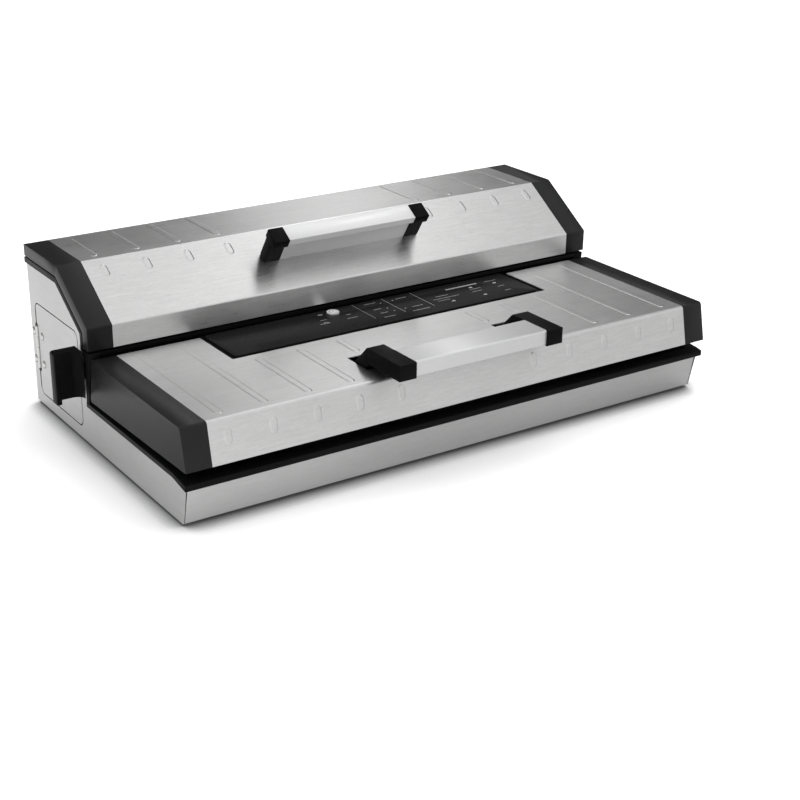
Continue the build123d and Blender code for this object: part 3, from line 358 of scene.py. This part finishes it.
plasticLooks = {
    "caseBlack": dict(dark=(0.007, 0.007, 0.0073), light=(0.011, 0.011, 0.0114), grain=1700.0,
                      smooth=0.34, rough=0.46, smudge=0.05, gloss=0.2, bump=0.3, wearAndHighlight=0.35, dust=0.02),
    "deckBlack": dict(dark=(0.004, 0.004, 0.0042), light=(0.007, 0.007, 0.0073), grain=1500.0,
                      smooth=0.34, rough=0.46, smudge=0.05, gloss=0.05, bump=0.3, wearAndHighlight=0.25, dust=0.02),
    "linerBlack": dict(dark=(0.012, 0.012, 0.0122), light=(0.019, 0.019, 0.0194), grain=1300.0,
                       smooth=0.36, rough=0.5, smudge=0.06, gloss=0.3, bump=0.35, wearAndHighlight=0.25, dust=0.03),
    "slabBlack": dict(dark=(0.0125, 0.0125, 0.0128), light=(0.0155, 0.0155, 0.0158), grain=700.0,
                      smooth=0.24, rough=0.28, smudge=0.02, gloss=0.02, bump=0.01, wearAndHighlight=0.0, dust=0.0),
    "gripBlack": dict(dark=(0.004, 0.004, 0.0042), light=(0.007, 0.007, 0.0073), grain=1900.0,
                      smooth=0.32, rough=0.44, smudge=0.06, gloss=0.03, bump=0.25, wearAndHighlight=0.35,
                      dust=0.015),
    "foamBlack": dict(dark=(0.012, 0.012, 0.012), light=(0.035, 0.035, 0.035), grain=900.0, smooth=0.8,
                      rough=0.95, smudge=0.0, gloss=0.2, bump=0.9, wearAndHighlight=0.0, dust=0.0),
    "siliconeGrey": dict(dark=(0.36, 0.36, 0.35), light=(0.46, 0.46, 0.45), grain=500.0, smooth=0.45,
                         rough=0.6, smudge=0.05, gloss=0.4, bump=0.1, wearAndHighlight=0.0, dust=0.0),
    # real rubber black, also worn by the painted shadow rings and seam strips
    "rubberAndShadeBlack": dict(dark=(0.012, 0.012, 0.012), light=(0.025, 0.025, 0.025), grain=1100.0,
                        smooth=0.7, rough=0.85, smudge=0.0, gloss=0.3, bump=0.5, wearAndHighlight=0.0, dust=0.02),
    "glassTape": dict(dark=(0.24, 0.17, 0.09), light=(0.36, 0.27, 0.16), grain=1300.0, smooth=0.4,
                      rough=0.55, smudge=0.05, gloss=0.4, bump=0.6, wearAndHighlight=0.0, dust=0.0),
    "boardGreen": dict(dark=(0.008, 0.10, 0.035), light=(0.02, 0.17, 0.06), grain=300.0, smooth=0.25,
                       rough=0.35, smudge=0.0, gloss=0.5, bump=0.1, wearAndHighlight=0.0, dust=0.0),
    "componentGrey": dict(dark=(0.03, 0.03, 0.035), light=(0.08, 0.08, 0.09), grain=700.0, smooth=0.4,
                          rough=0.55, smudge=0.0, gloss=0.4, bump=0.1, wearAndHighlight=0.0, dust=0.0),
    "printGrey": dict(dark=(0.27, 0.27, 0.275), light=(0.34, 0.34, 0.345), grain=900.0, smooth=0.4,
                      rough=0.5, smudge=0.0, gloss=0.3, bump=0.05, wearAndHighlight=0.0, dust=0.0),
    "printPale": dict(dark=(0.36, 0.36, 0.365), light=(0.44, 0.44, 0.445), grain=900.0, smooth=0.4,
                      rough=0.5, smudge=0.0, gloss=0.3, bump=0.05, wearAndHighlight=0.0, dust=0.0),
    "lensSilver": dict(dark=(0.15, 0.155, 0.16), light=(0.22, 0.225, 0.23), grain=700.0, smooth=0.15,
                       rough=0.25, smudge=0.0, gloss=0.4, bump=0.02, wearAndHighlight=0.0, dust=0.0),
}
finishes = {name: steelFinish(name, look) for name, look in steelLooks.items()}
for name, look in plasticLooks.items():
    finishes[name] = plasticFinish(name, look)
print("finishes made:", len(finishes))

# which finish each piece of the frame wears
wears = {
    "lidSteel": ["rear_lid_skin"],
    "frontLidSteelShaded": ["front_lid_skin"],
    "frontSteelShaded": ["front_panel"],
    "sideSteelShaded": ["side_panel_left", "side_panel_right", "side_door_panel"],
    "zincSteel": ["bottom_plate", "rear_panel", "pump_bracket", "latch_strikers", "front_lid_hinges",
                  "latch_shaft", "transformer_core"],
    "brightSteel": ["vacuum_chamber", "case_screws", "rear_hinge_leaves", "rear_hinge_lid_leaves",
                    "cutter_blade"],
    "hingeSteel": ["door_hinge_frame_leaf", "door_hinge_leaf"],
    "satinAluminium": ["rear_handle_bar", "heating_bar"],
    "latchAluminiumShaded": ["latch_handle_bar"],
    "buttonMetal": ["start_button"],
    "motorCan": ["pump_motor"],
    "heaterStrip": ["heating_elements"],
    "copperWinding": ["transformer_coil"],
    "caseBlack": ["rear_lid_caps", "front_lid_caps", "pump_head", "equipment_cover"],
    "deckBlack": ["deck_moulding", "rear_frame", "console_housing"],
    "linerBlack": ["rear_lid_liner", "front_lid_liner", "roll_bay_liner", "cutter_rail", "power_inlet",
                   "fan_frame", "fan_rotor", "lid_switches", "solenoid_valve"],
    "gripBlack": ["rear_handle_ends", "latch_handle_arms", "side_door_pull", "cutter_slider"],
    "slabBlack": ["control_overlay"],
    "foamBlack": ["lower_gasket", "upper_gasket"],
    "siliconeGrey": ["pressure_strip", "vacuum_hose"],
    "rubberAndShadeBlack": ["rubber_feet", "pump_mounts"],
    "glassTape": ["sealing_tape"],
    "boardGreen": ["control_board", "power_board"],
    "componentGrey": ["board_components", "ribbon_cable"],
    "lensSilver": ["display_lens"],
}
for finish, names in wears.items():
    for name in names:
        for slot in nodes[name].material_slots:
            slot.material = finishes[finish]

# radius of the moulded and machined edges, in metres
edgeRounds = {
    "front_lid_caps": 0.0009, "rear_lid_caps": 0.0009, "deck_moulding": 0.0006, "rear_frame": 0.0006,
    "side_door_pull": 0.0009, "latch_handle_arms": 0.0008, "latch_handle_bar": 0.0003,
    "rear_handle_bar": 0.0005, "rear_handle_ends": 0.0008, "control_overlay": 0.0005,
    "console_housing": 0.0005, "roll_bay_liner": 0.0006, "cutter_rail": 0.0005, "cutter_slider": 0.001,
    "power_inlet": 0.0005, "rubber_feet": 0.0008, "equipment_cover": 0.0006, "front_lid_liner": 0.0005,
    "lower_gasket": 0.001, "upper_gasket": 0.001, "pressure_strip": 0.001, "heating_bar": 0.0006,
    "vacuum_chamber": 0.0004,
}
# an edge is rounded where its faces turn by more than leastTurn, in degrees
roundingSettings = dict(weld=0.000005, segments=3, leastTurn=28)


def roundEdges(piece, width, settings):
    weld = piece.modifiers.new("weld", "WELD")
    weld.merge_threshold = settings["weld"]
    bevel = piece.modifiers.new("edges", "BEVEL")
    bevel.width = width
    bevel.segments = settings["segments"]
    bevel.limit_method = "ANGLE"
    bevel.angle_limit = math.radians(settings["leastTurn"])
    bevel.miter_outer = "MITER_ARC"
    bevel.harden_normals = True
    piece.data.shade_smooth()


for name, width in edgeRounds.items():
    roundEdges(nodes[name], width, roundingSettings)
print("finishes worn and edges rounded")

# marks printed on the console, in metres from the middle of its front edge
consoleMarks = dict(
    rise=0.00006,
    separators=[-0.0115, 0.0225, 0.056],
    separatorFrom=0.0155,
    separatorTo=0.0585,
    separatorWidth=0.00034,
    strokeWidth=(0.0007, 0.0013),
    strokeHeight=(0.7, 1.0),  # as a share of the word's height
    strokeGap=(0.00025, 0.0004),
    words=[  # x, y, width, height
        (-0.0645, 0.0285, 0.010, 0.0013), (-0.0595, 0.0375, 0.006, 0.0011),
        (-0.0345, 0.0290, 0.011, 0.0013), (-0.0305, 0.0385, 0.005, 0.0011),
        (-0.0010, 0.0530, 0.012, 0.0013), (-0.0006, 0.0360, 0.007, 0.0013),
        (0.0002, 0.0247, 0.0075, 0.0013), (-0.0030, 0.0135, 0.012, 0.0013),
        (0.0345, 0.0513, 0.012, 0.0013), (0.0360, 0.0243, 0.012, 0.0013),
        (0.0295, 0.0140, 0.020, 0.0013), (0.0710, 0.0352, 0.0135, 0.0012),
        (0.0640, 0.0288, 0.030, 0.0012), (0.0660, 0.0235, 0.0135, 0.0012),
        (0.1130, 0.0352, 0.0125, 0.0012), (0.1105, 0.0286, 0.0115, 0.0012),
        (0.1390, 0.0470, 0.0135, 0.0012), (0.1425, 0.0290, 0.007, 0.0012),
        (0.1415, 0.0157, 0.007, 0.0012),
    ],
    dots=[(0.0155, 0.0490), (0.0136, 0.0340), (0.0153, 0.0244), (0.0298, 0.0495), (0.0278, 0.0242)],
    dotRadius=0.0008,
    roundSides=20,
    arrows=[(0.0797, 0.0170), (0.1174, 0.0160), (0.1462, 0.0397), (0.1172, 0.0405)],
    arrowSize=0.0022,
    arrowShaft=0.4,  # these three as shares of its size
    arrowNeck=0.2,
    arrowTip=0.1,
    ovals=[(-0.0512, 0.0515), (-0.0575, 0.0300)],
    ovalSize=(0.0024, 0.0015),
    ovalHole=(0.72, 0.62),  # as shares of its size
)


def addPiece(name, build, finish, body):
    mesh = bpy.data.meshes.new(name)
    build.normal_update()
    build.to_mesh(mesh)
    build.free()
    mesh.materials.append(finishes[finish])
    piece = bpy.data.objects.new(name, mesh)
    scene.collection.objects.link(piece)
    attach(piece, body)


def raisedShape(build, outline, low, high):  # the outline is a list of (x, y) points
    bottom = [build.verts.new((x, y, low)) for x, y in outline]
    top = [build.verts.new((x, y, high)) for x, y in outline]
    build.faces.new(top)
    build.faces.new(bottom[::-1])
    for index in range(len(outline)):
        following = (index + 1) % len(outline)
        build.faces.new((bottom[index], bottom[following], top[following], top[index]))


def bar(x, y, width, height):  # starts at x, centred on y, with its corners clipped
    clip = min(width, height) / 4
    half = height / 2
    return [(x + clip, y - half), (x + width - clip, y - half), (x + width, y - half + clip),
            (x + width, y + half - clip), (x + width - clip, y + half), (x + clip, y + half),
            (x, y + half - clip), (x, y - half + clip)]


def oval(x, y, across, along, count):
    angles = [2 * math.pi * k / count for k in range(count)]
    return [(x + across * math.cos(angle), y + along * math.sin(angle)) for angle in angles]


def ringQuads(x, y, inner, outer, count):
    for k in range(count):
        a, b = (2 * math.pi * step / count for step in (k, k + 1))
        yield [(x + radius * math.cos(angle), y + radius * math.sin(angle)) for radius, angle in
               ((outer, a), (outer, b), (inner, b), (inner, a))]


def printConsole(marks):
    low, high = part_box("control_overlay")
    middle, front, top = (low.x + high.x) / 2, low.y, high.z
    ceiling = top + marks["rise"]

    def stamp(build, outline):
        raisedShape(build, [(middle + px, front + py) for px, py in outline], top, ceiling)

    words = bmesh.new()
    for x, y, width, height in marks["words"]:
        start = x
        while start < x + width:  # a word is a row of short uneven strokes, so that it says nothing
            stroke = rng.uniform(*marks["strokeWidth"])
            tall = height * rng.uniform(*marks["strokeHeight"])
            stamp(words, bar(start, y, stroke, tall))
            start += stroke + rng.uniform(*marks["strokeGap"])
    for x, y in marks["dots"]:
        stamp(words, oval(x, y, marks["dotRadius"], marks["dotRadius"], marks["roundSides"]))
    addPiece("console_print", words, "printGrey", "base")
    signs = bmesh.new()
    half = marks["separatorWidth"] / 2
    for x in marks["separators"]:
        stamp(signs, [(x - half, marks["separatorFrom"]), (x + half, marks["separatorFrom"]),
                      (x + half, marks["separatorTo"]), (x - half, marks["separatorTo"])])
    size = marks["arrowSize"]
    shaft, neck, tip = (size * marks[key] for key in ("arrowShaft", "arrowNeck", "arrowTip"))
    for x, y in marks["arrows"]:
        stamp(signs, [(x - size, y - shaft), (x + neck, y - shaft), (x + neck, y - size),
                      (x + size, y + tip), (x + neck, y + size), (x + neck, y + shaft),
                      (x - size, y + shaft)])
    across, along = marks["ovalSize"]
    wide, tall = marks["ovalHole"]
    for x, y in marks["ovals"]:
        outer = oval(x, y, across, along, marks["roundSides"])
        inner = oval(x, y, across * wide, along * tall, marks["roundSides"])
        for k in range(len(outer)):
            following = (k + 1) % len(outer)
            stamp(signs, [outer[k], outer[following], inner[following], inner[k]])
    addPiece("console_signs", signs, "printPale", "base")


printConsole(consoleMarks)

displayBars = dict(count=16, gap=0.00035, inset=0.0004, rise=0.00015)  # the bars along the narrow display


def makeDisplay(look):
    low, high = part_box("display_lens")
    width = (high.x - low.x - 2 * look["inset"] - (look["count"] - 1) * look["gap"]) / look["count"]
    height = high.y - low.y - 2 * look["inset"]
    middle = (low.y + high.y) / 2
    build = bmesh.new()
    for index in range(look["count"]):
        x = low.x + look["inset"] + index * (width + look["gap"])
        raisedShape(build, bar(x, middle, width, height), high.z, high.z + look["rise"])
    addPiece("display_segments", build, "printPale", "base")


makeDisplay(displayBars)

# a thin ring on the button's top with a short stroke in its upper half
buttonTop = dict(rim=0.0047, dish=0.0041, groove=0.0001, rise=0.00015, turns=48, strokeHalf=0.0004,
                 strokeFrom=0.0003, strokeTo=0.0021)


def makeButtonRing(look):
    low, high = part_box("start_button")
    x, y = (low.x + high.x) / 2, high.y - (high.x - low.x) / 2
    floor, top = high.z - look["groove"], high.z + look["rise"]
    build = bmesh.new()
    for quad in ringQuads(x, y, look["dish"], look["rim"], look["turns"]):
        raisedShape(build, quad, floor, top)
    left, right = x - look["strokeHalf"], x + look["strokeHalf"]
    lower, upper = y + look["strokeFrom"], y + look["strokeTo"]
    raisedShape(build, [(left, lower), (right, lower), (right, upper), (left, upper)], floor, top)
    addPiece("button_ring", build, "brightSteel", "start_button")


makeButtonRing(buttonTop)

# low domed screw heads with a cross recess, on the underside of the front lid's inner panel
linerScrews = dict(places=(-0.235, -0.11, 0.11, 0.235), fromFront=0.012, radius=0.0032, height=0.0011,
                   depth=0.0006, rings=5, sides=24, armWidth=0.55, tip=0.12)


def screwHead(build, x, y, z, look):
    rows = []
    for step in range(look["rings"]):
        turn = math.pi / 2 * step / (look["rings"] - 1)
        radius = look["radius"] * math.cos(turn)
        height = look["height"] * math.sin(turn)
        if step == look["rings"] - 1:
            radius = look["radius"] * look["tip"]
        row = []
        for k in range(look["sides"]):
            angle = 2 * math.pi * k / look["sides"]
            arm = abs(math.sin(2 * angle)) < look["armWidth"]
            sink = look["depth"] if arm and 1 < step else 0
            row.append(build.verts.new((x + radius * math.cos(angle), y + radius * math.sin(angle),
                                        z - (height - sink))))
        rows.append(row)
    for lower, upper in zip(rows, rows[1:]):
        for k in range(look["sides"]):
            following = (k + 1) % look["sides"]
            build.faces.new((upper[k], upper[following], lower[following], lower[k]))
    build.faces.new(rows[-1][::-1])
    build.faces.new(rows[0])


def makeLinerScrews(look):
    low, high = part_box("front_lid_liner")
    build = bmesh.new()
    for x in look["places"]:
        screwHead(build, (low.x + high.x) / 2 + x, low.y + look["fromFront"], low.z, look)
    addPiece("front_liner_screws", build, "brightSteel", "front_lid")


makeLinerScrews(linerScrews)

# painted shadow: dark rings round the hinge's rivets stand in for the shade at their edges, behind and in
# front of its axis
rivetShadowRings = dict(back=0.008, front=0.012, inset=0.007, inner=0.0031, outer=0.0037, rise=0.00006,
                  turns=32)


def makeRivetShadowRings(look):
    hinge = next(j for j in frame["record"]["behaviour"]["joints"] if j["name"] == "side_door_hinge")
    axis = hinge["pos_m"][1]
    low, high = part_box("door_hinge_frame_leaf")
    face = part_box("side_panel_left")[0].x  # the side's outer face
    heights = (low.z + look["inset"], high.z - look["inset"])
    for name, body, y in (("frame_rivet_shadow_rings", "base", axis + look["back"]),
                          ("door_rivet_shadow_rings", "side_door", axis - look["front"])):
        build = bmesh.new()
        for z in heights:
            for quad in ringQuads(y, z, look["inner"], look["outer"], look["turns"]):
                raisedShape(build, quad, -face, -face + look["rise"])
        for vertex in build.verts:  # made flat, then stood up on the left side
            along, up, out = vertex.co
            vertex.co = (-out, along, up)
        # the rings are painted shadow in a black finish
        addPiece(name, build, "rubberAndShadeBlack", body)


makeRivetShadowRings(rivetShadowRings)

# painted shade: dark strips in the two seams beside the leaning front panel stand in for the shadow inside
# them
cornerShadowStrips = dict(width=0.0005, sunk=0.00025, depth=0.0006, lift=0.0003, footBand=0.0005,
                    headBand=0.0035, headDrop=0.004)


def makeCornerShadowStrips(look):
    panel = nodes["front_panel"]
    low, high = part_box("front_panel")
    left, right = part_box("side_panel_left")[0].x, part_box("side_panel_right")[1].x
    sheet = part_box("side_panel_left")[1].x - left
    spots = [vertex.co for vertex in panel.data.vertices]
    foot = min(spot.y for spot in spots if spot.z < low.z + look["footBand"])
    head = min(spot.y for spot in spots if spot.z > high.z - look["headBand"])
    half = look["width"] / 2
    build = bmesh.new()
    for x in (left + sheet + half, right - sheet - half):
        corners = []
        for y, z in ((foot, low.z + look["lift"]), (head, high.z - look["headDrop"])):
            near, far = y + look["sunk"], y + look["sunk"] + look["depth"]
            outline = ((x - half, near, z), (x + half, near, z), (x + half, far, z), (x - half, far, z))
            corners.append([build.verts.new(spot) for spot in outline])
        bottom, top = corners
        build.faces.new(top)
        build.faces.new(bottom[::-1])
        for k in range(len(top)):
            following = (k + 1) % len(top)
            build.faces.new((bottom[k], bottom[following], top[following], top[k]))
    addPiece("corner_shadow_strips", build, "rubberAndShadeBlack", "base")


makeCornerShadowStrips(cornerShadowStrips)
print("printed marks and small details made")

cameraSpot = dict(azimuth=-33.38, elevation=22.61, distance=1.4899, target=(0.012, -0.00615, 0.0097),
                  focal=69.03, sensor=36.0, shiftX=0.028, shiftY=-0.01175, roll=0.36, nearest=0.01,
                  farthest=30)


def makeCamera(spot):
    data = bpy.data.cameras.new("studioCamera")
    data.lens = spot["focal"]
    data.sensor_width = spot["sensor"]
    data.shift_x = spot["shiftX"]
    data.shift_y = spot["shiftY"]
    data.clip_start = spot["nearest"]
    data.clip_end = spot["farthest"]
    camera = bpy.data.objects.new("studioCamera", data)
    scene.collection.objects.link(camera)
    turn, rise = math.radians(spot["azimuth"]), math.radians(spot["elevation"])
    back = Vector((math.sin(turn) * math.cos(rise), -math.cos(turn) * math.cos(rise), math.sin(rise)))
    camera.location = Vector(spot["target"]) + back * spot["distance"]
    aim = back.to_track_quat("Z", "Y").to_matrix()
    camera.rotation_euler = (aim @ Matrix.Rotation(math.radians(spot["roll"]), 3, "Z")).to_euler()
    scene.camera = camera


makeCamera(cameraSpot)

# every direction lies on a sphere of radius 1, and a span is where on it one level turns into the next
studio = dict(
    backdrop=1.2,  # plain white behind the table's edge
    fillNear=0.75,  # soft light on matt surfaces and the table, from the front left
    fillFar=1.55,  # and from behind on the right
    fillTurn=(0.8, 0.6),
    fillSpan=(-0.6, 0.6),
    lowBack=0.05,  # what polished surfaces see low behind
    lowFront=1.0,  # and low in front
    frontSpan=(-0.35, 0.3),
    overhead=1.08,  # and overhead
    riseSpan=(0.58, 0.88),
    panelX=0.502,  # tall soft panel behind on the right, for reflections alone
    panelWidth=0.048,
    panelEdge=(0.3, 1.7),  # as shares of its width
    panelLight=0.9,
    panelBehind=(0.05, 0.3),
    panelGain=(0.7, 3.0),  # brighter towards its top
    panelRise=(0.35, 0.65),
)


def makeWorld(look):
    world = bpy.data.worlds.new("studio")
    scene.world = world
    world.use_nodes = True
    tree = world.node_tree
    background = tree.nodes["Background"]
    place = addNode(tree, "ShaderNodeTexCoord", (-1600, 0))
    split = addNode(tree, "ShaderNodeSeparateXYZ", (-1400, 0))
    wire(tree, place.outputs["Generated"], split.inputs[0])
    front = spread(tree, split.outputs["Y"], look["lowFront"], look["lowBack"], (-1100, 200),
                   *look["frontSpan"])
    rise = spread(tree, split.outputs["Z"], 0, 1, (-1100, 0), *look["riseSpan"])
    level = addNode(tree, "ShaderNodeMix", (-800, 100), data_type="FLOAT")
    wire(tree, rise, level.inputs[0])
    wire(tree, front, level.inputs[2])
    level.inputs[3].default_value = look["overhead"]
    off = mathNode(tree, "SUBTRACT", split.outputs["X"], look["panelX"], (-1100, -250))
    off = mathNode(tree, "ABSOLUTE", off, None, (-900, -250))
    edges = [look["panelWidth"] * share for share in look["panelEdge"]]
    panel = spread(tree, off, look["panelLight"], 0, (-700, -250), *edges)
    behind = spread(tree, split.outputs["Y"], 0, 1, (-700, -450), *look["panelBehind"])
    panel = mathNode(tree, "MULTIPLY", panel, behind, (-450, -250))
    higher = spread(tree, split.outputs["Z"], *look["panelGain"], (-450, -450), *look["panelRise"])
    panel = mathNode(tree, "MULTIPLY", panel, higher, (-300, -250))
    seen = mathNode(tree, "ADD", level.outputs[0], panel, (-200, 0))
    ray = addNode(tree, "ShaderNodeLightPath", (-400, 400))
    strength = addNode(tree, "ShaderNodeMix", (0, 200), data_type="FLOAT")
    wire(tree, ray.outputs["Is Glossy Ray"], strength.inputs[0])
    turnX, turnY = look["fillTurn"]
    slantX = mathNode(tree, "MULTIPLY", split.outputs["X"], turnX, (-900, 500))
    slantY = mathNode(tree, "MULTIPLY", split.outputs["Y"], turnY, (-900, 650))
    slant = mathNode(tree, "ADD", slantX, slantY, (-700, 550))
    fill = spread(tree, slant, look["fillNear"], look["fillFar"], (-500, 550), *look["fillSpan"])
    wire(tree, fill, strength.inputs[2])
    wire(tree, seen, strength.inputs[3])
    backdrop = addNode(tree, "ShaderNodeMix", (150, 200), data_type="FLOAT")
    wire(tree, ray.outputs["Is Camera Ray"], backdrop.inputs[0])
    wire(tree, strength.outputs[0], backdrop.inputs[2])
    backdrop.inputs[3].default_value = look["backdrop"]
    wire(tree, backdrop.outputs[0], background.inputs["Strength"])
    background.inputs["Color"].default_value = (1, 1, 1, 1)
    background.location = (250, 0)
    tree.nodes["World Output"].location = (450, 0)


# one large weak soft box above, in metres and watts
overheadBox = dict(at=(0.1, 0.1, 1.6), aim=(0, 0, 0.1), size=(1.4, 1.0), power=5)


def makeOverheadBox(look):
    data = bpy.data.lights.new("overheadBox", "AREA")
    data.shape = "RECTANGLE"
    data.size, data.size_y = look["size"]
    data.energy = look["power"]
    light = bpy.data.objects.new("overheadBox", data)
    scene.collection.objects.link(light)
    light.location = look["at"]
    aim = Vector(look["at"]) - Vector(look["aim"])
    light.rotation_euler = aim.to_track_quat("Z", "Y").to_euler()
    light.visible_glossy = False  # the steel reflects the studio alone


# seen is the white table as the camera has it, lit is how it lights what stands on it
tableLook = dict(
    reach=14,
    seenDark=(1.12, 1.12, 1.12),
    seenLight=(1.15, 1.15, 1.15),
    cloudScale=3.0,
    litLeft=(0.97, 0.97, 0.97),
    litRight=(0.58, 0.58, 0.58),
    fadeSpan=(-0.25, 0.4),
    contactShadow=(0.2, 0.2, 0.2),  # painted contact shadow: the dark line where the casing meets the table, laid on by ambient occlusion
    contactReach=0.024,
    contactSpan=(0.42, 0.9),
    rough=0.9,
)


def makeTable(look):
    mesh = bpy.data.meshes.new("tableTop")
    build = bmesh.new()
    bmesh.ops.create_grid(build, x_segments=1, y_segments=1, size=look["reach"])
    build.to_mesh(mesh)
    build.free()
    table = bpy.data.objects.new("tableTop", mesh)
    scene.collection.objects.link(table)
    table.location = (0, 0, cadBox[0].z)
    material, tree, shader = newMaterial("tableWhite")
    cloud = addNode(tree, "ShaderNodeTexNoise", (-600, 0), Scale=look["cloudScale"], Detail=2.0)
    bright = tint(tree, cloud.outputs[0], look["seenDark"], look["seenLight"], (-300, 200))
    # painted contact shadow: the table is darkened where the casing stands close over it
    close = addNode(tree, "ShaderNodeAmbientOcclusion", (-800, 300), samples=12)
    close.inputs["Distance"].default_value = look["contactReach"]
    clear = spread(tree, close.outputs["AO"], 0, 1, (-600, 300), *look["contactSpan"])
    bright = tint(tree, clear, look["contactShadow"], bright, (-200, 300))
    place = addNode(tree, "ShaderNodeTexCoord", (-1000, -300))
    split = addNode(tree, "ShaderNodeSeparateXYZ", (-800, -300))
    wire(tree, place.outputs["Object"], split.inputs[0])
    fade = spread(tree, split.outputs["X"], 0, 1, (-600, -300), *look["fadeSpan"])
    lit = tint(tree, fade, look["litLeft"], look["litRight"], (-300, -200))
    ray = addNode(tree, "ShaderNodeLightPath", (-600, 500))
    colour = tint(tree, ray.outputs["Is Camera Ray"], lit, bright, (-100, 0))
    wire(tree, colour, shader.inputs["Base Color"])
    shader.inputs["Roughness"].default_value = look["rough"]
    shader.inputs["Specular IOR Level"].default_value = 0.0
    mesh.materials.append(material)


makeWorld(studio)
makeTable(tableLook)
makeOverheadBox(overheadBox)
scene.view_settings.view_transform = "Standard"
print("camera, table and lights made")
